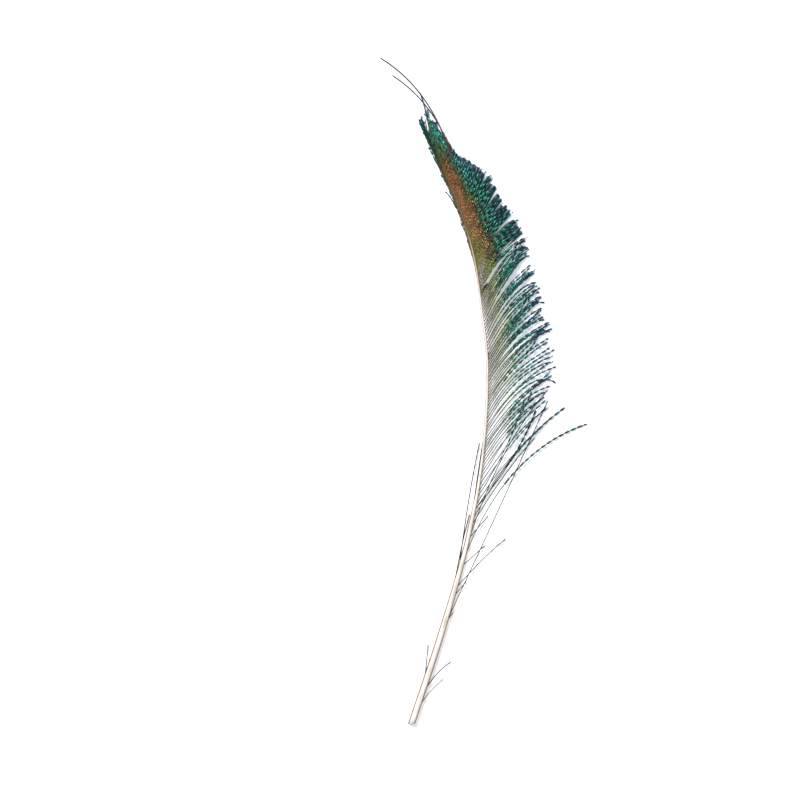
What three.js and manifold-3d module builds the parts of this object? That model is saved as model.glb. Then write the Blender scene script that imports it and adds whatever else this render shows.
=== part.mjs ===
// A peacock's sword feather, from the edge of the train, lying on a flat surface with its coloured side up.
//
// The shaft starts at the cut end of the quill, runs up the feather (+Y) and bows to the right (+X).
// The wide vane stands on its right side, a very narrow one on its left. Each vane is a row of locks,
// the bundles that its barbs cling together in. Lengths are in millimetres, angles in degrees, +Z is up.
// The origin is in the middle of the feather's outline, on the surface that it lies on.
import * as THREE from 'three';
import { mergeVertices } from 'three/addons/utils/BufferGeometryUtils.js';
import Module from 'manifold-3d';

const wasm = await Module();
wasm.setup();

// The shaft's centre line seen from above, from the cut end of the quill to the tip.
const SHAFT_LINE = [
  [-33.6, -156.2],
  [-20.2, -115.6],
  [-7.2, -69.5],
  [0.0, -28.2],
  [1.9, 14.0],
  [-1.0, 39.5],
  [-3.9, 60.6],
  [-9.4, 81.3],
  [-17.4, 101.5],
  [-21.6, 110.5],
  [-25.4, 119.0],
  [-27.2, 127.4],
];
// The shaft's thickness: [distance from the cut end, width].
const SHAFT_WIDTH = [
  [0, 3.4],
  [40, 3.3],
  [75, 2.7],
  [103, 1.9],
  [132, 1.4],
  [180, 1.15],
  [219, 0.8],
  [294, 0.4],
];
const SHAFT_HEIGHT_TO_WIDTH = 0.9;
const SHAFT_STEPS = 44;
const UNDERSIDE_CUT = 0.7; // how far down the round section the flat underside lies, 1 is its lowest point
const QUILL_SLANT = 1.1; // the cut end is slanted by this much across its width

// The shaft arches off the surface between the quill, which lies flat, and the tip.
const ARCH_START = 128;
const ARCH_HEIGHT = 3.5;

// The wide vane: [distance from the cut end, barb length, angle at the shaft, angle at the barb's tip,
// lock width over the room between its neighbours]. Angles are clockwise from the shaft's own direction.
// Low on the feather the locks stand apart, and towards its tip they close into one sheet.
const WIDE_VANE = [
  [103, 58, 20, 38, 0.5],
  [112, 56, 22, 42, 0.5],
  [120, 51, 23, 46, 0.55],
  [128, 46, 25, 54, 0.6],
  [137, 50, 26, 66, 0.7],
  [144, 47, 27, 60, 0.8],
  [156, 43, 29, 60, 0.85],
  [170, 39.5, 31, 64, 0.95],
  [182, 39, 32, 63, 1.05],
  [195, 38, 33, 62, 1.15],
  [206, 36, 33, 60, 1.2],
  [215, 32.5, 32, 59, 1.25],
  [220, 31.5, 32, 58, 1.25],
  [238, 29, 28, 50, 1.25],
  [246, 26, 32, 20, 1.25],
  [254, 22, 34, 2, 1.25],
  [262, 20, 30, -13, 1.4],
  [272, 17, 25, -3, 1.6],
  [282, 14, 18, -5, 1.8],
];
const WIDE_VANE_SPACING = [5.2, 3.6]; // between locks, at the vane's lower and upper end

// The narrow vane, whose barbs lie almost along the shaft, in the same order of values.
const NARROW_VANE = [
  [208, 12, -4, -6, 2.5],
  [240, 19, -7, -9, 3],
  [258, 23, -10, 12, 3],
  [270, 19, -8, 16, 2.5],
  [280, 12, -5, 12, 2.5],
];
const NARROW_VANE_SPACING = [9, 7];

// Loose filaments: [distance from the cut end, length, angle at the shaft, angle at the filament's tip].
const FILAMENTS = [
  [6, 20, 14, 34],
  [13, 22, 11, 38],
  [45, 120, 8, 7],
  [62, 10, 25, 25],
  [66, 34, 25, 35],
  [77, 15, 33, 33],
  [77, 93, 6, 57],
  [79, 92, 2, 26],
  [99, 70, 17, 43],
  [104, 56, 28, 9],
  [18, 20, -12, -14],
  [62, 40, -7, -1],
  [72, 64, -8.5, -3.6],
  [100, 42, -5, -1],
  [240, 81, 12, -40],
  [247, 84, 13, -39],
  [281, 25, 16, 5],
];

const BARB_CURL = 1.5; // above 1, a barb bends more towards its tip than near the shaft
const BARB_UNEVEN = 0.05; // how far neighbouring locks differ in length
const LOCK_STEP_LENGTH = 10;
const LOCK_THICKNESS = 0.8;
const LOCK_TIP = 0.3; // width and thickness of a lock's tip
const LOCK_WIDEST = 0.72; // the share of its length where a lock starts to taper
const VANE_ARCH = 2.2; // how far a lock rises between the shaft and its tip
const FILAMENT_WIDTH = 0.8;
const FILAMENT_THICKNESS = 0.5;
const FILAMENT_WIDEST = 0.3;

// Straight-line interpolation in a table of rows that start with the distance from the cut end.
function readTable(table, distance, column) {
  const last = table.length - 1;
  let row = table.findIndex(([start]) => start > distance) - 1;
  row = THREE.MathUtils.clamp(row < -1 ? last - 1 : row, 0, last - 1);
  const [from, to] = [table[row], table[row + 1]];
  const share = THREE.MathUtils.clamp((distance - from[0]) / (to[0] - from[0]), 0, 1);
  return THREE.MathUtils.lerp(from[column], to[column], share);
}

const shaftCurve = new THREE.CatmullRomCurve3(SHAFT_LINE.map(([x, y]) => new THREE.Vector3(x, y, 0)));
const shaftLength = shaftCurve.getLength();

const shaftWidth = (distance) => readTable(SHAFT_WIDTH, distance, 1);
const shaftHeight = (distance) => shaftWidth(distance) * SHAFT_HEIGHT_TO_WIDTH;

function shaftLift(distance) {
  const share = THREE.MathUtils.clamp((distance - ARCH_START) / (shaftLength - ARCH_START), 0, 1);
  return ARCH_HEIGHT * Math.sin(Math.PI * share) ** 2;
}

// The point on the shaft's underside at a distance from the cut end, and the shaft's direction there.
function shaftPlace(distance) {
  const share = THREE.MathUtils.clamp(distance / shaftLength, 0, 1);
  const point = shaftCurve.getPointAt(share);
  const along = shaftCurve.getTangentAt(share);
  point.z = shaftLift(distance);
  return { point, along };
}

// Moves each corner of an upright unit prism to the place that `place` gives for its share of the
// length (0 to 1) and its position in the unit section.
function bend(prism, place) {
  const position = prism.attributes.position;
  for (let i = 0; i < position.count; i += 1) {
    const corner = place(position.getY(i) + 0.5, position.getX(i), position.getZ(i));
    position.setXYZ(i, corner.x, corner.y, corner.z);
  }
  return prism;
}

function shaft() {
  const prism = new THREE.CylinderGeometry(1, 1, 1, 8, SHAFT_STEPS);
  return bend(prism, (share, across, up) => {
    const distance = share * shaftLength;
    const { point, along } = shaftPlace(distance);
    const side = new THREE.Vector3(along.y, -along.x, 0);
    const height = (Math.max(up, -UNDERSIDE_CUT) + UNDERSIDE_CUT) / (1 + UNDERSIDE_CUT);
    point.addScaledVector(side, (across * shaftWidth(distance)) / 2);
    point.z += height * shaftHeight(distance);
    if (share === 0) {
      point.addScaledVector(along, (across * QUILL_SLANT) / 2);
    }
    return point;
  });
}

// A barb's angle to the shaft's direction, at a share of its length.
function barbAngle(share, angleAtShaft, angleAtTip) {
  return THREE.MathUtils.lerp(angleAtShaft, angleAtTip, share ** BARB_CURL);
}

// The points along a lock, seen from above, in a number of equal steps.
function lockLine(distance, length, [angleAtShaft, angleAtTip], steps) {
  const { point, along } = shaftPlace(distance);
  const shaftHeading = Math.atan2(along.x, along.y);
  const step = length / steps;
  const line = [{ x: point.x, y: point.y, heading: shaftHeading + angleAtShaft * THREE.MathUtils.DEG2RAD }];
  for (let i = 0; i < steps; i += 1) {
    const angle = barbAngle((i + 0.5) / steps, angleAtShaft, angleAtTip);
    const heading = shaftHeading + angle * THREE.MathUtils.DEG2RAD;
    const { x, y } = line[i];
    line.push({ x: x + Math.sin(heading) * step, y: y + Math.cos(heading) * step, heading });
  }
  return line;
}

// A lock or a filament: a flat blade with a ridge above and below, widest at `widest` of its length.
function lock({ distance, length, angles, width, thickness, arch, widest }) {
  const steps = 2 + Math.ceil(length / LOCK_STEP_LENGTH);
  const line = lockLine(distance, length, angles, steps);
  const prism = new THREE.CylinderGeometry(1, 1, 1, 4, steps);
  const rootHeight = shaftLift(distance) + Math.max(shaftHeight(distance), thickness) / 2 + 0.05;
  return bend(prism, (share, across, up) => {
    const { x, y, heading } = line[Math.round(share * steps)];
    const taper = share < widest ? 1 : (1 - share) / (1 - widest);
    const halfWidth = (LOCK_TIP + (width(share) - LOCK_TIP) * taper) / 2;
    const halfThickness = (LOCK_TIP + (thickness - LOCK_TIP) * (1 - share)) / 2;
    const tipHeight = LOCK_TIP / 2;
    const middle = THREE.MathUtils.lerp(rootHeight, tipHeight, share) + arch * Math.sin(Math.PI * share);
    return new THREE.Vector3(
      x + Math.cos(heading) * across * halfWidth,
      y - Math.sin(heading) * across * halfWidth,
      middle + up * halfThickness,
    );
  });
}

// The locks of one vane, from its lower end to its upper end.
function vane(table, [lowSpacing, highSpacing], arch) {
  const [start, end] = [table[0][0], table.at(-1)[0]];
  const locks = [];
  let distance = start;
  while (distance <= end) {
    const spacing = THREE.MathUtils.mapLinear(distance, start, end, lowSpacing, highSpacing);
    const [length, angleAtShaft, angleAtTip, fill] = [1, 2, 3, 4].map(
      (column) => readTable(table, distance, column),
    );
    const width = (share) => {
      const angle = barbAngle(share, angleAtShaft, angleAtTip) * THREE.MathUtils.DEG2RAD;
      return Math.max(spacing * Math.abs(Math.sin(angle)) * fill, LOCK_TIP);
    };
    locks.push(lock({
      distance,
      length: length * (1 + BARB_UNEVEN * Math.sin(distance * 2)),
      angles: [angleAtShaft, angleAtTip],
      width,
      thickness: LOCK_THICKNESS,
      arch,
      widest: LOCK_WIDEST,
    }));
    distance += spacing;
  }
  return locks;
}

function filaments() {
  return FILAMENTS.map(([distance, length, ...angles]) => lock({
    distance,
    length,
    angles,
    width: () => FILAMENT_WIDTH,
    thickness: FILAMENT_THICKNESS,
    arch: VANE_ARCH / 2,
    widest: FILAMENT_WIDEST,
  }));
}

function solid(geometry) {
  const bare = geometry.clone();
  bare.deleteAttribute('normal');
  bare.deleteAttribute('uv');
  const merged = mergeVertices(bare, 1e-4);
  return new wasm.Manifold(new wasm.Mesh({
    numProp: 3,
    vertProperties: new Float32Array(merged.attributes.position.array),
    triVerts: new Uint32Array(merged.index.array),
  }));
}

// The shaft and everything that grows from it, as one closed solid. Where locks lean on each other they
// can shut in a pocket; only the outer skin is kept, which fills it.
function grownTogether(pieces) {
  const whole = pieces.map(solid).reduce((joined, piece) => joined.add(piece));
  const skins = whole.decompose().sort((a, b) => b.volume() - a.volume());
  const { numProp, vertProperties, triVerts } = skins[0].getMesh();
  const geometry = new THREE.BufferGeometry();
  geometry.setAttribute('position', new THREE.BufferAttribute(new Float32Array(vertProperties), numProp));
  geometry.setIndex(new THREE.BufferAttribute(new Uint32Array(triVerts), 1));
  geometry.computeVertexNormals();
  return geometry;
}

const keratin = new THREE.MeshStandardMaterial({ color: '#2f6f5c', roughness: 0.45, metalness: 0.3 });

const feather = new THREE.Mesh(
  grownTogether([
    shaft(),
    ...vane(WIDE_VANE, WIDE_VANE_SPACING, VANE_ARCH),
    ...vane(NARROW_VANE, NARROW_VANE_SPACING, 0),
    ...filaments(),
  ]),
  keratin,
);
feather.name = 'feather';

const part = new THREE.Group();
part.add(feather);

export default part;
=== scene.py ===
# %% [markdown]
# # A peacock's sword feather
#
# The feather is one grown piece of keratin, the stuff of nails and horn. A pale shaft carries barbs,
# and each barb carries hundreds of barbules, tiny blades that catch the light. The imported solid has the
# feather's outline and thickness. This script replaces it with the real build, from the shaft down to
# the barbules, because on a feather it is these small parts that make the colour and the soft edge.

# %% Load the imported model
import math
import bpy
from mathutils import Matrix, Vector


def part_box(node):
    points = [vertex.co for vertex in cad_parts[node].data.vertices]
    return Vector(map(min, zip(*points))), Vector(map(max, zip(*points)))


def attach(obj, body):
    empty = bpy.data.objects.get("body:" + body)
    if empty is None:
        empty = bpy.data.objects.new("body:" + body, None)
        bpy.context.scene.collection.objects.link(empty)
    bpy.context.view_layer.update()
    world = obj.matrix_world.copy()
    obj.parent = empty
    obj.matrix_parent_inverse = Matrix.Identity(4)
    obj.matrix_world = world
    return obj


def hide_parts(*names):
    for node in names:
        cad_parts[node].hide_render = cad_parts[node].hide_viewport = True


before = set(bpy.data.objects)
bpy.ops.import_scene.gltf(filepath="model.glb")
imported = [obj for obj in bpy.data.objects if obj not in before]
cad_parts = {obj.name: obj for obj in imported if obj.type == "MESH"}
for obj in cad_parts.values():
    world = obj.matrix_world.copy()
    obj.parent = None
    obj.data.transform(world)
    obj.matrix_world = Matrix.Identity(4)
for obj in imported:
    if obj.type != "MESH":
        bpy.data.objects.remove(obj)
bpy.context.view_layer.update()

from types import SimpleNamespace

import bmesh
import bpy
import numpy as np

bpy.ops.object.select_all(action="DESELECT")
NODE, BODY = "feather", "root"
MM = 0.001  # lengths below are in millimetres, and Blender's are in metres
low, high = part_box(NODE)
print("The solid measures", [round(size / MM, 1) for size in high - low], "mm")

# %% [markdown]
# ## The line of the shaft
#
# Everything grows from the shaft, so its line comes first. It is the same smooth curve that the solid
# has: a few points, from the cut end of the quill to the tip, joined by a Catmull-Rom curve. A Bezier
# curve object could hold it too, but the barbs need its place and heading at any distance, and a small
# table of points along the curve gives both by interpolation.

# %% The curve and its distances
SHAFT_LINE = [
    (-33.6, -156.2), (-20.2, -115.6), (-7.2, -69.5), (0.0, -28.2), (1.9, 14.0),
    (-1.0, 39.5), (-3.9, 60.6), (-9.4, 81.3), (-17.4, 101.5), (-21.6, 110.5), (-25.4, 119.0),
    (-27.2, 127.4),
]
CURVE_STEPS = 60


def smooth_curve(points):
    """Places along a centripetal Catmull-Rom curve through the points."""
    points = np.array(points)
    points = np.vstack([2 * points[0] - points[1], points, 2 * points[-1] - points[-2]])
    share = np.linspace(0, 1, CURVE_STEPS, endpoint=False)[:, None]
    stretches = []
    for before, start, end, after in zip(points, points[1:], points[2:], points[3:]):
        one, two, three = (
            math.sqrt(math.dist(*pair)) for pair in ((before, start), (start, end), (end, after))
        )
        chord = end - start
        leave = chord + two * ((start - before) / one - (end - before) / (one + two))
        reach = chord + two * ((after - end) / three - (after - start) / (two + three))
        stretches.append(
            start + leave * share + (3 * chord - 2 * leave - reach) * share**2
            + (leave + reach - 2 * chord) * share**3
        )
    return np.vstack([*stretches, points[-2]])


shaft_places = smooth_curve(SHAFT_LINE)
shaft_distances = np.append(0, np.cumsum(np.linalg.norm(np.diff(shaft_places, axis=0), axis=1)))
shaft_length = shaft_distances[-1]
shaft_headings = np.arctan2(*np.gradient(shaft_places, axis=0).T)
print("The shaft is", round(shaft_length, 1), "mm long")

# %% [markdown]
# ## The shaft's height
#
# The quill lies flat on the surface, and the shaft arches a little off it further up. Its section
# shrinks along the way. The arch is the solid's own, so that the new pieces stay where it is. Above the
# quill the shaft is up to 0.2 mm wider than the solid's.

# %% Width, height and lift along the shaft
SHAFT_WIDTH = [  # distance from the cut end, width
    (0, 3.4), (40, 3.3), (75, 2.7), (103, 2.1), (132, 1.6), (180, 1.35), (219, 0.95), (294, 0.4),
]
SHAFT_HEIGHT_TO_WIDTH = 0.9
ARCH_START = 128  # the distance from the cut end where the shaft leaves the surface
ARCH_HEIGHT = 3.5


def read(table, distance, column=1):
    """The value in a column of a table whose rows start with the distance from the cut end."""
    rows = np.array(table).T
    return np.interp(distance, rows[0], rows[column])


def shaft_lift(distance):
    """The height of the shaft's underside above the surface."""
    share = np.clip((distance - ARCH_START) / (shaft_length - ARCH_START), 0, 1)
    return ARCH_HEIGHT * np.sin(np.pi * share) ** 2


def shaft_place(distance):
    """Where the shaft's underside is at a distance from the cut end."""
    x, y = (np.interp(distance, shaft_distances, side) for side in shaft_places.T)
    return np.stack([x, y, shaft_lift(distance)], axis=-1)


def shaft_heading(distance):
    """The shaft's direction there, clockwise from +Y, in radians."""
    return np.interp(distance, shaft_distances, shaft_headings)


print("The shaft's tip is at", shaft_place(shaft_length).round(1), "mm")

# %% [markdown]
# ## A barb's line
#
# A barb leaves the shaft at a small angle and bends outwards towards its tip. Hundreds of them follow
# one rule, so a function grows a whole row of barbs at once: it walks along each barb in equal steps
# and turns a little at each. In Blender the same could be done with hair curves, but they don't leave
# Blender as a mesh, and here each barb becomes a real one.

# %% Grow a row of barbs
BARB_STEPS = 28
BARB_CURL = 1.5  # above 1, a barb bends more towards its tip than near the shaft
HOOK_CURL = 7  # the same for the hook that a few barbs end in
LEAST_SHAFT = 0.8  # a barb starts at half the shaft's thickness, which is taken as no less than this
TIP_HEIGHT = 0.55  # the middle of a barb's tip, which lies on the surface


def grow(distance, length, at_shaft, at_tip, arch, hook=0, **more):
    """The lines of a row of barbs. Angles are in degrees, clockwise from the shaft's direction.

    The arch, the hook and any further value is one number for all barbs or one for each.
    """
    each = np.zeros(len(distance))
    share = np.linspace(0, 1, BARB_STEPS + 1)
    middle = (share[1:] + share[:-1]) / 2
    turn = np.outer(at_shaft, 1 - middle**BARB_CURL) + np.outer(at_tip, middle**BARB_CURL)
    turn += np.outer(each + hook, middle**HOOK_CURL)
    heading = shaft_heading(distance)[:, None] + np.radians(turn)
    step = length[:, None] / BARB_STEPS
    flat = np.stack([np.sin(heading) * step, np.cos(heading) * step], axis=-1)
    root = shaft_place(distance)
    across = root[:, None, :2] + np.pad(np.cumsum(flat, axis=1), ((0, 0), (1, 0), (0, 0)))
    thickness = np.maximum(read(SHAFT_WIDTH, distance) * SHAFT_HEIGHT_TO_WIDTH, LEAST_SHAFT)
    root_height = root[:, 2] + thickness / 2
    height = np.outer(root_height, 1 - share) + TIP_HEIGHT * share
    height += np.outer(each + arch, np.sin(np.pi * share))
    places = np.concatenate([across, height[..., None]], axis=-1)
    forward = np.gradient(places, axis=1)
    forward /= np.linalg.norm(forward, axis=-1, keepdims=True)
    more = {name: each + value for name, value in more.items()}
    return SimpleNamespace(distance=distance, length=length, places=places, forward=forward, **more)


def along(barbs, which, share):
    """The place, forward, side and up directions on the barbs `which`, at shares of their length."""
    step = np.clip(share, 0, 1) * BARB_STEPS
    whole = np.minimum(step.astype(int), BARB_STEPS - 1)
    part = (step - whole)[:, None]
    place, forward = (
        rows[which, whole] * (1 - part) + rows[which, whole + 1] * part
        for rows in (barbs.places, barbs.forward)
    )
    side = np.stack([forward[:, 1], -forward[:, 0], np.zeros(len(forward))], axis=-1)
    side /= np.linalg.norm(side, axis=-1, keepdims=True)
    return place, forward, side, np.cross(side, forward)


# %% [markdown]
# ## The two small shapes that repeat
#
# A barb is a rib with barbules on both sides. Each of the two is modelled once, by hand: the rib is a
# thin cylinder, cut across into short steps so that it can bend, and the barbule is a slim three-sided
# blade that ends in a point. Both are one unit long and get their real size when they are copied.

# %% Model the rib and the barbule
RIB_SIDES = 5
RIB_STEPS = 18


def select(obj, kind, test):
    """Selects the edges or faces of an object in edit mode that pass a test, and no others."""
    bpy.ops.mesh.select_mode(type=kind)
    bpy.ops.mesh.select_all(action="DESELECT")
    mesh = bmesh.from_edit_mesh(obj.data)
    for item in mesh.edges if kind == "EDGE" else mesh.faces:
        item.select_set(test(item))
    bmesh.update_edit_mesh(obj.data)


def upright(edge):
    """Whether an edge runs along the prism that it belongs to."""
    return abs(edge.verts[0].co.z - edge.verts[1].co.z) > 0.5


def take_shape():
    """The corners and triangles of the active object, which is then removed."""
    obj = bpy.context.object
    mesh = obj.data
    mesh.calc_loop_triangles()
    corners = np.array([vertex.co for vertex in mesh.vertices])
    triangles = np.array([triangle.vertices for triangle in mesh.loop_triangles])
    bpy.data.objects.remove(obj)
    return corners, triangles


bpy.ops.mesh.primitive_cylinder_add(vertices=RIB_SIDES, radius=1, depth=1, location=(0, 0, 0.5))
bpy.ops.object.transform_apply()
bpy.ops.object.mode_set(mode="EDIT")
select(bpy.context.object, "EDGE", upright)
bpy.ops.mesh.subdivide(number_cuts=RIB_STEPS - 1)
bpy.ops.object.mode_set(mode="OBJECT")
rib_shape = take_shape()

bpy.ops.mesh.primitive_cone_add(vertices=3, radius1=1, radius2=0, depth=1, location=(0, 0, 0.5))
bpy.ops.object.transform_apply()
barbule_shape = take_shape()
print("A rib has", len(rib_shape[1]), "triangles, a barbule", len(barbule_shape[1]))

# %% [markdown]
# ## Ribs
#
# A barb's rib is flat and wide where it leaves the shaft and thinner at its tip. A curve modifier could
# bend one rib, but here are hundreds, so the corners of the modelled rib are copied to each barb and set
# along its line. Each corner also keeps five numbers that the materials read: how far out on the barb it
# is, how far up on the shaft the barb stands, a number that is the barb's own, the painted light and
# shade of the dash that it is in, and how dark it is, which on the wide vane's second row is painted
# shade. The map named OFBake gives every barb a strip of its own.

# %% Bend the ribs
# A dark barb's darkness is painted shade on the wide vane's second row, and the own colour of the fringe
# and filaments.
DARK_START = 0.3  # the share of its length where a dark barb starts to darken
DARK_RISE = 6
STRIP_HALF = 0.48  # half of a strip's width on the map, where 0.5 would touch the next strip
STRIP_MARGIN = 0.01
RIB_BAND = 0.08  # the share of its barb's strip that a rib takes
RIB_HEIGHT = 0.3  # at most, and never more than the rib's width
FLOOR_GAP = 0.04  # no rib or barbule comes nearer to the surface than this


def numbers(barbs, which, out, across, dark, tone):
    """The five numbers that each corner keeps, and its place on the map."""
    strip = (which + 0.5 + STRIP_HALF * across) / len(barbs.length)
    strip_share = STRIP_MARGIN + (1 - 2 * STRIP_MARGIN) * np.clip(out, 0, 1)
    # Darker further out: painted shade on the wide vane's second row, the barb's own colour elsewhere.
    barb_dark_and_shade = barbs.dark[which] * np.clip((out - DARK_START) * DARK_RISE, 0, 1)
    return {
        "out": out,
        "up": barbs.distance[which] / shaft_length,
        "own": barbs.own[which],
        "tone": tone,
        "dark": np.maximum(dark, barb_dark_and_shade),
        "map": np.stack([strip_share, strip], axis=-1),
    }


def ribs(barbs):
    """The ribs of a row of barbs, as corners, triangles and the corners' numbers."""
    corners, triangles = rib_shape
    count = len(barbs.length)
    which = np.repeat(np.arange(count), len(corners))
    across, up, share = np.tile(corners, (count, 1)).T
    place, _, side_way, up_way = along(barbs, which, share)
    width = (1 - share * (1 - barbs.rib_tip[which])) * barbs.rib[which]
    height = np.minimum(width, RIB_HEIGHT)
    places = place + side_way * (across * width / 2)[:, None] + up_way * (up * height / 2)[:, None]
    places[:, 2] = np.maximum(places[:, 2], FLOOR_GAP)
    faces = (triangles + np.arange(count)[:, None, None] * len(corners)).reshape(-1, 3)
    none = np.zeros(len(share))
    return places, faces, numbers(barbs, which, share, RIB_BAND * across, none, none)


# %% [markdown]
# ## Barbules
#
# The barbules stand in two rows along the rib and point forwards, like the barbs of a tiny feather.
# Near the shaft they only rock a little and make one smooth sheet. Further out each barb is twisted like
# a ribbon, so that its barbules face the viewer for a few millimetres and then stand on edge. That twist
# is what draws the bright dashes with dark gaps on a real sword feather, so it is built, not painted.
# Real barbules are several times finer, which wouldn't show at this distance.

# %% Set the barbules on the ribs
BARBULE_SPACING = 0.17
BARBULE_SLANT = math.radians(40)  # from the rib's own direction
BARBULE_WIDTH = 0.26  # at most, and never more than half of how far the barbule reaches
BARBULE_THICKNESS = 0.05
SHEET_FADE = (-0.06, 0.12)  # the smooth sheet turns into the twist between these, from where it ends
ROCKING = 0.8  # how far the barbules of the smooth sheet tilt to and fro, in radians
ROCKING_PACE = 2.2  # times as fast as the twist
DWELL = 0.4  # above 0, the ribbon stays flat for longer and turns over faster
GROWTH = (-0.04, 0.12)  # the first barbules of a barb get longer between these, from where they start
FIRST_REACH, LAST_REACH = 0.3, 0.5  # of their full reach, for the first and the last barbule of a barb
TIP_START = 0.97  # the share of a barb's length from which its barbules get shorter
REACH_RANGE = (0.8, 1.1)
# Each dash gets a painted light and shade, as if it were turned a little differently to the light.
DASH_LIGHT_STEP = 0.618  # the golden ratio, so that the tones of dashes in a row are spread evenly
DASH_LIGHT_SPREAD = 5  # sets the tones of neighbouring barbs apart
BAND_START, BAND_THICKNESS, BAND_REACH = 0.2, 0.1, 0.7  # a barbule's place and size across its strip
random = np.random.default_rng(8)


def smooth_step(value, start, end):
    """0 up to the start, 1 from the end on, and a smooth rise between them."""
    share = np.clip((value - start) / (end - start), 0, 1)
    return share * share * (3 - 2 * share)


def barbules(barbs):
    """The barbules of a row of barbs, as corners, triangles and the corners' numbers."""
    corners, triangles = barbule_shape
    feathered = (1 - barbs.bare) * barbs.length
    pairs = np.maximum(feathered / BARBULE_SPACING, 1).astype(int)
    which = np.repeat(np.arange(len(pairs)), pairs)
    rank = np.concatenate([np.arange(count) for count in pairs])
    share = barbs.bare[which] + (rank + 0.5) / pairs[which] * (1 - barbs.bare[which])
    which, share = np.tile(which, 2), np.tile(share, 2)
    hand = np.repeat([-1, 1], len(which) // 2)
    place, forward, side, up = along(barbs, which, share)

    loose = smooth_step(share, *(barbs.sheet[which] + edge for edge in SHEET_FADE))
    turns = (share - 1) * (barbs.length / barbs.dash)[which] + barbs.own[which]
    twist = np.pi * turns - DWELL * np.sin(2 * np.pi * turns)
    turn = loose * twist + (1 - loose) * ROCKING * np.sin(2 * np.pi * turns * ROCKING_PACE)
    turn = turn * barbs.twist[which]
    # A dash's painted light and shade: one fixed number for each dash, spread evenly along the barb.
    tone = (np.round(turns) * DASH_LIGHT_STEP + barbs.own[which] * DASH_LIGHT_SPREAD) % 1
    out = side * np.cos(turn)[:, None] + up * np.sin(turn)[:, None]
    point = forward * math.cos(BARBULE_SLANT) + out * (hand * math.sin(BARBULE_SLANT))[:, None]
    broad = forward * math.sin(BARBULE_SLANT) - out * (hand * math.cos(BARBULE_SLANT))[:, None]
    face = np.cross(broad, point)

    grown = smooth_step(share, *(barbs.bare[which] + edge for edge in GROWTH))
    near_tip = smooth_step(share, TIP_START, 1)
    reach = barbs.inner[which] * (1 - loose) + barbs.outer[which] * loose
    reach *= (FIRST_REACH + (1 - FIRST_REACH) * grown) * (1 - (1 - LAST_REACH) * near_tip)
    reach *= random.uniform(*REACH_RANGE, len(which)) / math.sin(BARBULE_SLANT)
    width = np.minimum(BARBULE_WIDTH, reach / 2)

    across, thick, tip = corners.T
    places = (
        place[:, None]
        + point[:, None] * (reach[:, None] * tip)[..., None]
        + broad[:, None] * (width[:, None] / 2 * across)[..., None]
        + face[:, None] * (BARBULE_THICKNESS / 2 * thick)[:, None]
    )
    places[..., 2] = np.maximum(places[..., 2], FLOOR_GAP)
    faces = (triangles + np.arange(len(which))[:, None, None] * len(corners)).reshape(-1, 3)

    every = np.repeat(which, len(corners))
    map_out = share[:, None] + across * BARBULE_SPACING / 2 / barbs.length[which][:, None]
    map_across = hand[:, None] * (BAND_START + BAND_THICKNESS * thick * (1 - tip) + BAND_REACH * tip)
    dark = np.tile(tip, len(which))
    tone = np.repeat(tone, len(corners))
    kept = numbers(barbs, every, map_out.reshape(-1), map_across.reshape(-1), dark, tone)
    return places.reshape(-1, 3), faces, kept


# %% [markdown]
# ## From arrays to an object
#
# The copies are arrays of corners and triangles, because over ninety thousand small objects would be
# slow to make and join. One function puts them in a mesh, with the kept numbers as attributes, one
# material for each kind of part, and the place of every corner in metres. A part that comes without
# its places on the map gets no map.

# %% Join copies in one object
NUMBERS = ("out", "up", "own", "tone", "dark")


def joined(name, parts):
    """Makes one object from several (corners, triangles, numbers, material, smooth) parts."""
    corners, faces, kept, materials, smooth = zip(*parts)
    starts = np.cumsum([0] + [len(rows) for rows in corners])
    sizes = [len(rows) for rows in faces]
    corners = np.concatenate(corners) * MM
    faces = np.concatenate([rows + start for rows, start in zip(faces, starts)])
    mesh = bpy.data.meshes.new(name)
    mesh.from_pydata(corners.tolist(), [], faces.tolist())
    mesh.polygons.foreach_set("material_index", np.repeat(range(len(parts)), sizes))
    mesh.polygons.foreach_set("use_smooth", np.repeat(smooth, sizes))
    for key in NUMBERS:
        values = np.concatenate([part[key] for part in kept])
        mesh.attributes.new(key, "FLOAT", "POINT").data.foreach_set("value", values)
    if "map" in kept[0]:
        places = np.concatenate([part["map"] for part in kept])
        mesh.uv_layers.new(name="OFBake").uv.foreach_set("vector", places[faces.reshape(-1)].reshape(-1))
    for material in materials:
        mesh.materials.append(material)
    obj = bpy.data.objects.new(name, mesh)
    bpy.context.scene.collection.objects.link(obj)
    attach(obj, BODY)
    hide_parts(NODE)
    print(name, "has", len(faces), "triangles")


# %% [markdown]
# ## Tools for the materials
#
# Colours are written as they are seen on screen, in hexadecimal sRGB, and Blender's sockets take linear
# light, so one function turns one into the other. Another adds a node with its settings and links.

# %% Colours and nodes
MIX_A, MIX_B, MIX_RESULT = 6, 7, 2  # the Mix node's sockets that hold colours


def linear(colour):
    """An sRGB colour such as #8a5f3c as linear red, green, blue and alpha."""
    levels = [int(colour[i : i + 2], 16) / 255 for i in (1, 3, 5)]
    return [v / 12.92 if v <= 0.04045 else ((v + 0.055) / 1.055) ** 2.4 for v in levels] + [1]


def add(tree, kind, inputs={}, stops=(), **settings):
    """Adds a node. An input is a value or another node's output, and stops are a ramp's colours."""
    made = tree.nodes.new(kind)
    for name, value in settings.items():
        setattr(made, name, value)
    for name, value in inputs.items():
        if isinstance(value, bpy.types.NodeSocket):
            tree.links.new(value, made.inputs[name])
        else:
            made.inputs[name].default_value = value
    for index, (position, colour) in enumerate(stops):
        elements = made.color_ramp.elements
        element = elements[index] if index < 2 else elements.new(position)
        element.position, element.color = position, linear(colour)
    return made


def new_material(name):
    """A material with an empty node tree and its output."""
    material = bpy.data.materials.new(name)
    material.use_nodes = True
    material.node_tree.nodes.clear()
    return material, material.node_tree


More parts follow.
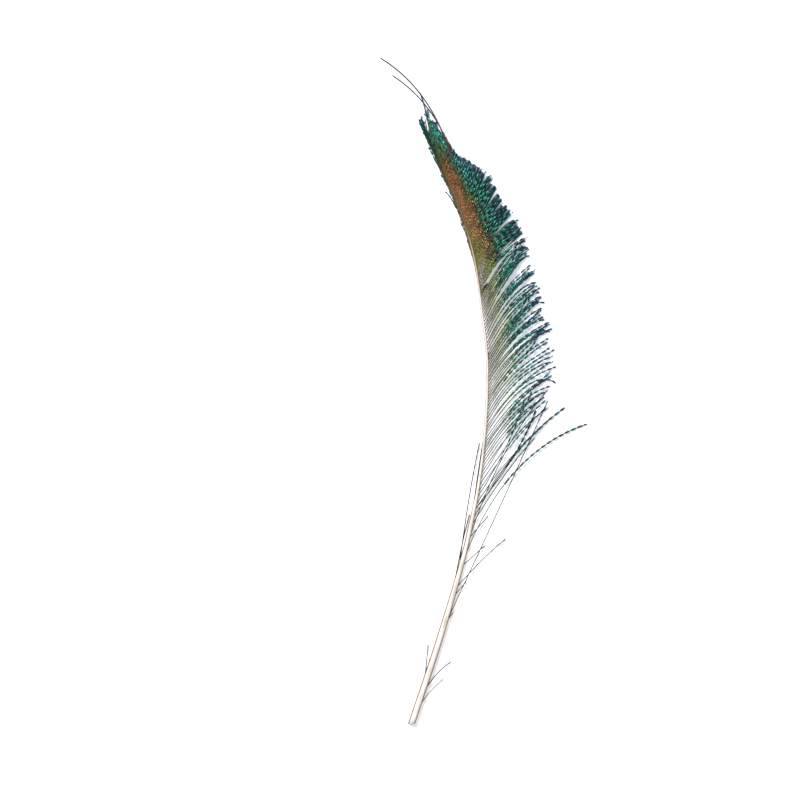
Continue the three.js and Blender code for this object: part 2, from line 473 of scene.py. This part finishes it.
# %% [markdown]
# ## The colour zones
#
# A barbule holds rods of dark melanin in clear keratin, stacked so evenly that they mirror one colour,
# like an oil film. On this feather the colour runs in zones along each barb. High on the feather it
# starts copper, and lower down pale, then olive and green. Everywhere it ends in teal and blue. A painted
# image could hold the zones, but it wouldn't follow a barb that curls. So three colour ramps, for three
# heights on the feather, are read at a barbule's place on its barb and mixed.

# %% Mix the colour zones
def colour_zones(tree, out, up, own):
    """A barbule's colour, how far it is in the blue zone and how high on the feather, as sockets."""
    # Each barb's zones are shifted a little. At the feather's tip the barbs are teal all the way.
    ragged = add(tree, "ShaderNodeMath", {0: own, 1: 0.12, 2: -0.06}, operation="MULTIPLY_ADD")
    shifted = add(tree, "ShaderNodeMath", {0: out, 1: ragged.outputs[0]}, operation="ADD")
    end = add(tree, "ShaderNodeMapRange", {
        "Value": up, "From Min": 0.84, "From Max": 0.95, "To Max": 0.6,
    })
    zone = add(tree, "ShaderNodeMath", {
        0: shifted.outputs[0], 1: end.outputs[0],
    }, operation="MAXIMUM").outputs[0]
    low = add(tree, "ShaderNodeValToRGB", {"Fac": zone}, [
        (0.13, "#a9aa9e"), (0.24, "#7f864a"), (0.4, "#55863a"), (0.5, "#2a7a4e"),
        (0.6, "#1d7a68"), (0.85, "#19696a"), (1.0, "#195868"),
    ])
    # Below the copper the pale start of the barbs is lost, and they are olive from the shaft on.
    olive = add(tree, "ShaderNodeMapRange", {
        "Value": up, "From Min": 0.715, "From Max": 0.755, "To Max": 0.3,
    })
    greened = add(tree, "ShaderNodeMath", {0: zone, 1: olive.outputs[0]}, operation="MAXIMUM")
    middle = add(tree, "ShaderNodeValToRGB", {"Fac": greened.outputs[0]}, [
        (0.08, "#aeb0aa"), (0.17, "#a1a48e"), (0.25, "#84903c"), (0.38, "#578c37"),
        (0.52, "#1c7658"), (0.75, "#1a7474"), (1.0, "#1d5f84"),
    ])
    upper = add(tree, "ShaderNodeValToRGB", {"Fac": zone}, [
        (0.0, "#94693e"), (0.12, "#b08350"), (0.34, "#a47e4c"), (0.42, "#74743e"),
        (0.5, "#2c8054"), (0.7, "#1f8775"), (0.85, "#1d7473"), (1.0, "#1e667a"),
    ])
    above = add(tree, "ShaderNodeMapRange", {"Value": up, "From Min": 0.44, "From Max": 0.54})
    # The copper's lower border slants: it reaches further down the feather away from the shaft.
    slanting = add(tree, "ShaderNodeMath", {0: out, 1: 0.25, 2: up}, operation="MULTIPLY_ADD")
    high = add(tree, "ShaderNodeMapRange", {
        "Value": slanting.outputs[0], "From Min": 0.785, "From Max": 0.855,
    })
    lower_two = add(tree, "ShaderNodeMix", {
        0: above.outputs[0], MIX_A: low.outputs[0], MIX_B: middle.outputs[0],
    }, data_type="RGBA")
    colour = add(tree, "ShaderNodeMix", {
        0: high.outputs[0], MIX_A: lower_two.outputs[MIX_RESULT], MIX_B: upper.outputs[0],
    }, data_type="RGBA")
    blue = add(tree, "ShaderNodeMapRange", {"Value": zone, "From Min": 0.35, "From Max": 0.6})
    return colour.outputs[MIX_RESULT], blue.outputs[0], high.outputs[0]


# %% [markdown]
# ## Barbule keratin
#
# Such structural colour shines like a metal, so the material is part metallic, with a fairly low
# roughness. It has no pigment to shade it: the melanin below swallows the rest of the light, and where
# a barbule thins out to its point it is nearly black. On the wide vane's flat second row the same dark is
# painted shade. Neighbouring dashes differ, because each is turned a little differently to the light. A
# real one also changes colour as the viewer moves, which a baked material can't do, so each dash gets a
# fixed painted light and shade, which makes it brighter or darker and bluer or greener.

# %% Make the barbule material
def barbule_keratin():
    material, tree = new_material("Barbule keratin with melanin")
    out, up, own, tone, dark = (
        add(tree, "ShaderNodeAttribute", attribute_name=name).outputs["Fac"] for name in NUMBERS
    )
    colour, blue, high = colour_zones(tree, out, up, own)
    # Each dash's painted light and shade makes it brighter or darker, and in the blue zone bluer or
    # greener too.
    swing = add(tree, "ShaderNodeMath", {0: tone, 1: blue}, operation="MULTIPLY")
    hue = add(tree, "ShaderNodeMapRange", {"Value": swing.outputs[0], "To Min": 0.49, "To Max": 0.54})
    painted_dash_light = add(tree, "ShaderNodeMapRange", {"Value": tone, "To Min": 1.7, "To Max": 0.5})
    varied = add(tree, "ShaderNodeHueSaturation", {
        "Color": colour, "Hue": hue.outputs[0], "Value": painted_dash_light.outputs[0],
    })
    # Towards its point a barbule is dark with melanin; on the wide vane's flat second row the dark is
    # painted shade.
    shade = add(tree, "ShaderNodeValToRGB", {"Fac": dark}, [(0.5, "#ffffff"), (1.0, "#242424")])
    shaded = add(tree, "ShaderNodeMix", {
        0: 1.0, MIX_A: varied.outputs[0], MIX_B: shade.outputs[0],
    }, data_type="RGBA", blend_type="MULTIPLY")
    # The blue and the copper mirror most, and the pale and olive zones hardly.
    mirror = add(tree, "ShaderNodeMath", {0: blue, 1: high}, operation="MAXIMUM")
    metal = add(tree, "ShaderNodeMapRange", {"Value": mirror.outputs[0], "To Min": 0.1, "To Max": 0.5})
    coat = add(tree, "ShaderNodeBsdfPrincipled", {
        "Base Color": shaded.outputs[MIX_RESULT], "Metallic": metal.outputs[0], "Roughness": 0.36,
    })
    add(tree, "ShaderNodeOutputMaterial", {"Surface": coat.outputs[0]})
    return material


barbule_material = barbule_keratin()
print("Made", barbule_material.name)

# %% [markdown]
# ## Rib keratin
#
# The ribs are plain keratin without the mirror layers: horn-pale where they leave the shaft, and filled
# with dark melanin further out. Among the copper they are brown. The index of refraction is that of
# keratin, 1.54, and the finish is duller than a fingernail's.

# %% Make the rib material
KERATIN_IOR = 1.54


def rib_keratin():
    material, tree = new_material("Rib keratin, pale to dark")
    out, up, own = (
        add(tree, "ShaderNodeAttribute", attribute_name=name).outputs["Fac"]
        for name in ("out", "up", "own")
    )
    uneven = add(tree, "ShaderNodeMath", {0: own, 1: 0.5, 2: out}, operation="MULTIPLY_ADD")
    low = add(tree, "ShaderNodeValToRGB", {"Fac": uneven.outputs[0]}, [
        (0.1, "#77756b"), (0.3, "#595b42"), (0.5, "#454f30"), (0.65, "#28332c"), (1.0, "#121a19"),
    ])
    upper = add(tree, "ShaderNodeValToRGB", {"Fac": out}, [
        (0.0, "#7d5a38"), (0.4, "#4b3722"), (0.6, "#182423"), (1.0, "#101d1f"),
    ])
    high = add(tree, "ShaderNodeMapRange", {"Value": up, "From Min": 0.62, "From Max": 0.74})
    colour = add(tree, "ShaderNodeMix", {
        0: high.outputs[0], MIX_A: low.outputs[0], MIX_B: upper.outputs[0],
    }, data_type="RGBA")
    coat = add(tree, "ShaderNodeBsdfPrincipled", {
        "Base Color": colour.outputs[MIX_RESULT], "Roughness": 0.5, "IOR": KERATIN_IOR,
    })
    add(tree, "ShaderNodeOutputMaterial", {"Surface": coat.outputs[0]})
    return material


rib_material = rib_keratin()
print("Made", rib_material.name)

# %% [markdown]
# ## Shaft keratin
#
# The shaft is the same stuff, thick, smooth and nearly white. High on the feather it thins to a brown
# thread, and fine lines run along it, as in a split fingernail. Its flanks and underside are browner
# than its white back: partly the shaft's own brown edges, and partly painted shade on the sides turned
# away from the light.
# The number `own` says here how high round the section a corner lies, from 0 at the flat underside to
# 1 on the back.

# %% Make the shaft material
GRAIN_LINES = 40  # on each flank, so that they get finer as the shaft tapers
GRAIN_LENGTH = 11.7  # of each line


def shaft_keratin():
    material, tree = new_material("Shaft keratin, cream")
    up, own = (
        add(tree, "ShaderNodeAttribute", attribute_name=name).outputs["Fac"] for name in ("up", "own")
    )
    along_shaft = add(tree, "ShaderNodeValToRGB", {"Fac": up}, [
        (0.0, "#fffaf2"), (0.7, "#fbf2e8"), (0.76, "#d9bf9f"), (0.82, "#8a6a4c"), (1.0, "#4a3828"),
    ])
    # Darker on the flanks and underside than on the back: the shaft's own brown edges, and painted shade.
    flanks_and_shade = add(tree, "ShaderNodeValToRGB", {"Fac": own}, [
        (0.0, "#e2cdb6"), (0.42, "#c4a386"), (0.62, "#6b4a36"), (0.8, "#7d5a42"), (0.86, "#f3e6da"),
        (0.94, "#ffffff"),
    ])
    colour = add(tree, "ShaderNodeMix", {
        0: 1.0, MIX_A: along_shaft.outputs[0], MIX_B: flanks_and_shade.outputs[0],
    }, data_type="RGBA", blend_type="MULTIPLY")
    lengthwise = add(tree, "ShaderNodeCombineXYZ", {"X": own, "Y": up})
    stretched = add(tree, "ShaderNodeVectorMath", {
        0: lengthwise.outputs[0], 1: (GRAIN_LINES, shaft_length / GRAIN_LENGTH, 0),
    }, operation="MULTIPLY")
    grain = add(tree, "ShaderNodeTexNoise", {
        "Vector": stretched.outputs[0], "Scale": 1.0, "Detail": 3.0,
    })
    lines = add(tree, "ShaderNodeValToRGB", {"Fac": grain.outputs[0]}, [
        (0.38, "#a98a70"), (0.5, "#ffffff"),
    ])
    lined = add(tree, "ShaderNodeMix", {
        0: 0.7, MIX_A: colour.outputs[MIX_RESULT], MIX_B: lines.outputs[0],
    }, data_type="RGBA", blend_type="MULTIPLY")
    coat = add(tree, "ShaderNodeBsdfPrincipled", {
        "Base Color": lined.outputs[MIX_RESULT], "Roughness": 0.32, "IOR": KERATIN_IOR,
    })
    add(tree, "ShaderNodeOutputMaterial", {"Surface": coat.outputs[0]})
    return material


shaft_material = shaft_keratin()
print("Made", shaft_material.name)

# %% [markdown]
# ## The shaft
#
# The shaft is one long prism, bent along its line like a rib. A curve with a round bevel could make it
# too, but the shaft has a flat underside to lie on, and its cut end is hollow. That end is finished in
# edit mode, before the bend: the end face is inset and pushed in, which leaves the quill's thin wall.

# %% Model and bend the shaft
SHAFT_SIDES = 16
SHAFT_STEPS = 150
UNDERSIDE_CUT = 0.7  # how far down the round section the flat underside lies, 1 is its lowest point
QUILL_SLANT = 1.1  # the cut end is slanted by this much across its width
QUILL_WALL = 0.3  # the wall at the cut end, as a share of the quill's radius
QUILL_DEPTH = 14  # how deep the quill is hollow, seen from its cut end


def model_shaft():
    bpy.ops.mesh.primitive_cylinder_add(vertices=SHAFT_SIDES, radius=1, depth=1, location=(0, 0, 0.5))
    bpy.ops.object.transform_apply()
    obj = bpy.context.object
    bpy.ops.object.mode_set(mode="EDIT")
    select(obj, "EDGE", upright)
    bpy.ops.mesh.subdivide(number_cuts=SHAFT_STEPS - 1)
    select(obj, "FACE", lambda face: face.normal.z < -0.9)
    bpy.ops.mesh.inset(thickness=QUILL_WALL)
    bpy.ops.mesh.extrude_region_move(
        TRANSFORM_OT_translate={"value": (0, 0, QUILL_DEPTH / shaft_length)}
    )
    bpy.ops.object.mode_set(mode="OBJECT")
    return take_shape()


corners, triangles = model_shaft()
across, up, share = corners.T
distance = share * shaft_length
width = read(SHAFT_WIDTH, distance)
heading = shaft_heading(distance)
side_way = np.stack([np.cos(heading), -np.sin(heading), np.zeros(len(heading))], axis=-1)
forward_way = np.stack([np.sin(heading), np.cos(heading), np.zeros(len(heading))], axis=-1)
rise = (np.maximum(up, -UNDERSIDE_CUT) + UNDERSIDE_CUT) / (1 + UNDERSIDE_CUT)
places = shaft_place(distance) + side_way * (across * width / 2)[:, None]
places[:, 2] += rise * width * SHAFT_HEIGHT_TO_WIDTH
places += forward_way * (np.where(share == 0, across, 0) * QUILL_SLANT / 2)[:, None]
none = np.zeros(len(share))
shaft_numbers = {"out": none, "up": share, "own": np.clip(rise, 0, 1), "tone": none, "dark": none}
joined("shaft", [(places, triangles, shaft_numbers, shaft_material, True)])

# %% [markdown]
# ## The wide vane
#
# The barbs of the wide vane get longer and stand further out towards the quill. A table of a few rows
# holds that, and the barbs in between are read from it. From the middle of the vane up, a second row
# stands beside the first. Higher up it lies a little lower, flat and wide between the others, and is
# coloured dark: a sheet of painted shade that stands in for the shadow between the bright dashes.
# In one place the vane is split, because the barbs there are broken off short.

# %% Place the barbs of the wide vane
WIDE_VANE = [  # distance from the cut end, barb length, angle at the shaft, angle at the tip
    (103, 58, 20, 38), (112, 56, 22, 42), (120, 51, 23, 46), (128, 46, 25, 54), (137, 50, 26, 66),
    (144, 47, 27, 60), (156, 43, 29, 60), (170, 39.5, 31, 64), (182, 39, 32, 63), (195, 38, 33, 62),
    (206, 36, 33, 60), (215, 32.5, 32, 59), (220, 31.5, 32, 58), (238, 29, 28, 50), (246, 26, 32, 20),
    (254, 22, 36, 4), (262, 20, 34, -8), (272, 18, 30, 0), (284, 14, 23, -3),
]
VANE_START, VANE_END = WIDE_VANE[0][0], WIDE_VANE[-1][0]
SPACING = [(103, 3.0), (118, 2.7), (132, 2.0), (160, 1.8), (190, 1.6), (205, 1.2), (284, 1.0)]
SPACING_UNEVEN = 0.2
UNDER_START, UNDER_END = 163, 277  # where the second row starts and ends
UNDER_PLACE = [(195, 0.12), (210, 0.5)]  # the part of the way from one barb of the first row to the next
# The second row's darkness, which rises with its flatness, is painted shade between the dashes.
UNDER_FLAT = [(196, 0), (212, 1)]  # how flat, wide and dark its barbs are
SPLIT = (203.9, 207.1)


def spots(start, end, spacing, uneven):
    """Distances from start to end, apart by the spacing and a little uneven."""
    places = [start]
    while places[-1] < end:
        places.append(places[-1] + read(spacing, places[-1]) * random.uniform(1 - uneven, 1 + uneven))
    return np.array(places[:-1])


top = spots(VANE_START, VANE_END, SPACING, SPACING_UNEVEN)
shade_row = top[:-1] + np.diff(top) * read(UNDER_PLACE, top[:-1])
shade_row = shade_row[(shade_row > UNDER_START) & (shade_row < UNDER_END)]
distance = np.append(top, shade_row)
under = np.repeat([False, True], [len(top), len(shade_row)])
flat = under * read(UNDER_FLAT, distance)
broken = (distance > SPLIT[0]) & (distance < SPLIT[1])
length, at_shaft, at_tip = (read(WIDE_VANE, distance, column) for column in (1, 2, 3))
barbs = len(distance)
print("The wide vane has", len(top), "barbs in its first row and", len(shade_row), "in its second")

# %% [markdown]
# ## Clumps
#
# Barbs cling together. Those of a clump lean towards its middle, so that their tips come near each
# other and white gaps open between clumps. Low on the vane, where the gaps are wide, the clumps' edges
# are given one by one, and further up they are drawn at random. The barbs beside the split lean together
# over it again at their tips.

# %% Gather the barbs in clumps
CLUMP_EDGES = [102, 127.5, 143.5, 157.5, 171, 182, 192, 218]
CLUMP = [(218, 4.5), (284, 3.5)]  # the room along the shaft that a clump takes further up
CLUMP_UNEVEN = 0.5
PAST_END = 6  # the last clump ends up to this far past the last barb
CLING = [  # how much the barbs of a clump lean together: at 1 their tips would meet
    (103, -0.1), (120, 0.0), (135, 0.2), (150, 0.4), (180, 0.4), (192, 0.15), (284, 0.05),
]
TIP_SWING = 1 / (1 + BARB_CURL)  # of its length, how far a barb's tip moves for one radian more there
CLUMP_STRAY = [(205, 2), (222, 0.7)]  # degrees by which a clump strays from its place
LOOSE = [  # and by which a barb strays from its clump
    (103, 11), (130, 9), (150, 6), (170, 5), (200, 3), (215, 1.3), (284, 1.6),
]
SPLIT_CLOSING = 12  # degrees by which the barbs beside the split lean over it
SPLIT_REACH = 4  # how far from the split that dies away

edges = np.append(CLUMP_EDGES[:-1], spots(CLUMP_EDGES[-1], VANE_END + PAST_END, CLUMP, CLUMP_UNEVEN))
clump = np.searchsorted(edges, distance) - 1
clumps = len(edges)
middle = (edges[clump] + edges[clump + 1]) / 2
lean = read(CLING, distance) * (distance - middle) * np.sin(np.radians(at_tip)) / (TIP_SWING * length)
at_tip = at_tip + np.degrees(lean) + random.normal(0, 1, clumps)[clump] * read(CLUMP_STRAY, distance)
at_tip = at_tip + random.normal(0, 1, barbs) * read(LOOSE, distance)
beyond = distance - sum(SPLIT) / 2
at_tip = at_tip + SPLIT_CLOSING * np.sign(beyond) * np.exp(-abs(beyond) / SPLIT_REACH)
print("They stand in", clumps - 1, "clumps")

# %% [markdown]
# ## What sets the barbs apart
#
# No two barbs are alike. They differ a little in length, in how high they arch, in how their last
# stretch curls, and in where their smooth sheet ends and their dashes fall. A few end in a hook. Groups
# of a few barbs leave the shaft at slightly different angles, which opens narrow slits of light.

# %% Vary the barbs
CLUMP_LENGTHS, BARB_LENGTHS = (0.96, 1.04), (0.94, 1.0)
UNDER_LENGTH = 0.97  # of what a barb of the first row has
SPLIT_ROOT = 7  # what is left of the split's barbs, so that it stays closed at the shaft
VANE_ARCH = 1.7
ARCH_STRAY = 0.5
UNDER_DROP = 0.9
CURL_STRAY = 16  # degrees by which the last stretch of a barb strays
HOOKED = 0.05  # the share of the barbs that end in a hook
HOOK_TURN = 80
HOOKS_START = 135
SHEET = [  # the share of a barb's length where its smooth sheet ends
    (103, 0.52), (115, 0.47), (128, 0.4), (150, 0.37), (205, 0.37), (250, 0.36), (268, 0.1), (284, 0.0),
]
SHEET_STRAY = 0.05
DASH = [  # the length of a dash, which is half a turn of the twist
    (103, 3.4), (150, 3.2), (200, 3.2), (245, 3.3), (265, 3.6), (284, 3.8),
]
DASH_RANGE = (0.8, 1.25)
STRAND = [(103, 5)]  # the room along the shaft that a group of a few barbs takes
STRAND_UNEVEN = 0.6
STRAND_STRAY = [(118, 0), (135, 2.3), (198, 2.3), (208, 0)]  # degrees by which it may stray at the shaft

length = length * random.uniform(*CLUMP_LENGTHS, clumps)[clump] * random.uniform(*BARB_LENGTHS, barbs)
length = np.where(broken, SPLIT_ROOT, length * np.where(under, UNDER_LENGTH, 1))
own = random.random(barbs)
arch = VANE_ARCH - UNDER_DROP * flat + ARCH_STRAY * (own - 0.5)
hook = random.normal(0, CURL_STRAY, barbs)
hooked = random.random(barbs) < HOOKED
hook += np.where(hooked, random.choice([-HOOK_TURN, HOOK_TURN], barbs), 0) * (distance > HOOKS_START)
sheet = read(SHEET, distance) + random.normal(0, SHEET_STRAY, barbs)
dash = read(DASH, distance) * random.uniform(*DASH_RANGE, barbs)
strands = spots(VANE_START, VANE_END + PAST_END, STRAND, STRAND_UNEVEN)
stray = random.uniform(-1, 1, len(strands))[np.searchsorted(strands, distance, side="right") - 1]
at_shaft = at_shaft + stray * read(STRAND_STRAY, distance)
print("They are", round(length[~broken].min()), "to", round(length.max()), "mm long")

# %% [markdown]
# ## The wide vane's pieces
#
# Now the barbs can be grown, with a rib and barbules each. The vane is kept in four pieces, one for each
# stretch of the shaft, so that no piece grows too heavy.

# %% Make the wide vane
BARE = [(103, 0.52), (115, 0.45), (128, 0.32), (144, 0.12), (155, 0.0)]  # of a barb, without barbules
INNER = [  # how far barbules reach from the rib in the smooth sheet
    (103, 0.26), (130, 0.32), (150, 0.42), (175, 0.46), (190, 0.48), (204, 0.54), (212, 0.6), (284, 0.62),
]
OUTER = [  # and in the twisted part
    (103, 0.52), (130, 0.63), (146, 0.68), (160, 0.7), (190, 0.6), (210, 0.4), (250, 0.4), (284, 0.6),
]
UNDER_WIDER = 0.6
# How dark the flat second row is coloured: painted shade.
UNDER_PAINTED_SHADE = 0.85
RIB = [(103, 0.44), (150, 0.42), (200, 0.3), (284, 0.22)]  # a rib's width at the shaft
RIB_TIP = 0.7  # the share of that width at the barb's tip
VANE_PIECES = {  # the stretch of the shaft for each
    "vane_low": (0, 150), "vane_middle": (150, 195), "vane_high": (195, 238), "vane_tip": (238, math.inf),
}


def feather_out(name, barbs):
    """Makes one object from a row of barbs, with their ribs and barbules."""
    joined(name, [
        (*ribs(barbs), rib_material, True),
        (*barbules(barbs), barbule_material, False),
    ])


wide_vane = dict(
    distance=distance, length=length, at_shaft=at_shaft, at_tip=at_tip, arch=arch, hook=hook, own=own,
    bare=read(BARE, distance), sheet=sheet, dash=dash, twist=1 - flat, dark=UNDER_PAINTED_SHADE * flat,
    inner=read(INNER, distance), outer=read(OUTER, distance) + UNDER_WIDER * flat,
    rib=read(RIB, distance),
)
for name, (start, end) in VANE_PIECES.items():
    here = (distance >= start) & (distance < end)
    stretch = {key: values[here] for key, values in wide_vane.items()}
    feather_out(name, grow(**stretch, rib_tip=RIB_TIP))

# %% [markdown]
# ## The narrow vane
#
# On the shaft's other side the barbs lie almost along it, so the vane there is a dark fringe only a few
# millimetres wide. The same functions grow it, from a table of its own. Its barbs aren't gathered in
# clumps, because a fringe as narrow as this shows no gaps.

# %% Make the narrow vane
NARROW_VANE = [  # in the same order as the wide vane's table
    (212, 14, -4, -6), (240, 19, -7, -9), (258, 23, -10, 12), (270, 19, -8, 16), (284, 11, -5, 12),
]
NARROW_SPACING = [(212, 1.5), (245, 0.9), (284, 0.7)]
NARROW_OUTER = [(212, 0.3), (250, 0.55)]
NARROW_LENGTHS = (0.75, 1.1)
NARROW_STRAY = (2, 4, 12)  # degrees, at the shaft, at the tip and in the last stretch

distance = spots(NARROW_VANE[0][0], NARROW_VANE[-1][0], NARROW_SPACING, SPACING_UNEVEN)
length, at_shaft, at_tip = (read(NARROW_VANE, distance, column) for column in (1, 2, 3))
length = length * random.uniform(*NARROW_LENGTHS, len(distance))
at_shaft, at_tip, hook = (
    angle + random.normal(0, stray, len(distance))
    for angle, stray in zip((at_shaft, at_tip, 0), NARROW_STRAY)
)
feather_out("fringe", grow(
    distance, length, at_shaft, at_tip, arch=0.1, hook=hook, own=random.random(len(distance)),
    bare=0.1, sheet=0.2, dash=2.6, twist=1, dark=0.4, inner=0.35, outer=read(NARROW_OUTER, distance),
    rib=0.3, rib_tip=0.6,
))

# %% [markdown]
# ## Loose filaments
#
# Low on the quill and at the very tip the barbs stand alone. They are thin and bare for most of their
# length, and end in a string of small twisted dashes. Each one is seen by itself, so they are listed one
# by one instead of drawn at random. Those that lie close along the quill's left side are the darkest, and
# those at the tip the thickest.

# %% Make the filaments
FILAMENTS = [  # distance from the cut end, length, angle at the shaft, angle at the tip, beaded share
    (6, 20, 14, 34, 0.0), (13, 22, 11, 38, 0.0), (45, 120, 8, 7, 0.4), (62, 10, 25, 25, 0.0),
    (66, 34, 25, 35, 0.4), (77, 15, 33, 33, 0.2), (77, 93, 6, 57, 0.62), (79, 92, 2, 26, 0.5),
    (99, 70, 17, 43, 0.6), (104, 56, 28, 9, 0.6), (18, 20, -12, -14, 0.0), (62, 40, -7, -1, 0.3),
    (72, 64, -8.5, -3.6, 0.4), (100, 42, -5, -1, 0.3), (240, 81, 12, -40, 0.5), (247, 84, 13, -39, 0.5),
    (281, 25, 16, 5, 0.3), (49, 7, 20, 20, 0.0), (90, 15, 26, 30, 0.0), (140, 40, -3, 0, 0.3),
    (96, 52, 19, 30, 0.5),
]
LEFT_OWN = 0.9  # the ribs get darker with the barb's own number
TIP_FILAMENTS_START = 200
FILAMENT_WIDTH, TIP_FILAMENT_WIDTH = 0.46, 0.62
WIDTH_STRAY = 0.1
WELL_BEADED = 0.55  # filaments with a larger beaded share than this have wide beads
BEAD_REACH, WIDE_BEAD_REACH = 0.36, 0.7
SHORTEST_BEAD = 3

distance, length, at_shaft, at_tip, beaded = np.array(FILAMENTS, float).T
own = np.where(at_shaft < 0, LEFT_OWN, random.random(len(distance)))
width = np.where(distance > TIP_FILAMENTS_START, TIP_FILAMENT_WIDTH, FILAMENT_WIDTH) + WIDTH_STRAY * own
feather_out("filaments", grow(
    distance, length, at_shaft, at_tip, arch=VANE_ARCH / 2, own=own, bare=1 - beaded, sheet=1 - beaded,
    dash=SHORTEST_BEAD + own, twist=1, dark=0.5, inner=0.2,
    outer=np.where(beaded > WELL_BEADED, WIDE_BEAD_REACH, BEAD_REACH), rib=width, rib_tip=0.85,
))

# %% [markdown]
# ## Floor, light and camera
#
# A feather is looked at lying on something pale, under soft light from one side, so that each dash has
# a bright and a dark flank and the feather a faint shadow. The camera looks straight down on it.

# %% Set the stage
FLOOR_SIZE = 3  # metres, as the other lengths of the stage are
CARD_GLOW = 0.45  # the card lies on a light table, which keeps its shadows pale
SUN_TURN = (-30, -32, 0)  # from the upper left, as seen in the render
SUN_STRENGTH = 3.3
SUN_SOFTNESS = 14  # degrees
ROOM_LIGHT = 0.5
CAMERA_HEIGHT = 1.2
VIEW_WIDTH = 0.376  # what the photograph shows, at 0.47 mm for each of its pixels
VIEW_MIDDLE = (-0.039, -0.0042)


def lay_floor():
    bpy.ops.mesh.primitive_plane_add(size=FLOOR_SIZE, location=(0, 0, 0))
    floor = bpy.context.object
    floor.name = "floor"
    material, tree = new_material("Matte white card")
    coat = add(tree, "ShaderNodeBsdfPrincipled", {
        "Base Color": linear("#f4f5f8"), "Roughness": 0.9,
        "Emission Color": linear("#f4f5fa"), "Emission Strength": CARD_GLOW,
    })
    add(tree, "ShaderNodeOutputMaterial", {"Surface": coat.outputs[0]})
    floor.data.materials.append(material)


lay_floor()
bpy.ops.object.light_add(type="SUN", rotation=[math.radians(angle) for angle in SUN_TURN])
bpy.context.object.name = "window light"
bpy.context.object.data.energy = SUN_STRENGTH
bpy.context.object.data.angle = math.radians(SUN_SOFTNESS)

world = bpy.data.worlds.new("Pale room")
bpy.context.scene.world = world
world.use_nodes = True
sky = world.node_tree.nodes["Background"]
sky.inputs["Color"].default_value = linear("#eef1f8")
sky.inputs["Strength"].default_value = ROOM_LIGHT

bpy.ops.object.camera_add(location=(*VIEW_MIDDLE, CAMERA_HEIGHT), rotation=(0, 0, 0))
camera = bpy.context.object
camera.data.lens = camera.data.sensor_width * CAMERA_HEIGHT / VIEW_WIDTH
bpy.context.scene.camera = camera
bpy.context.scene.view_settings.view_transform = "Standard"
print("The camera looks down from", CAMERA_HEIGHT, "m with a", round(camera.data.lens), "mm lens")
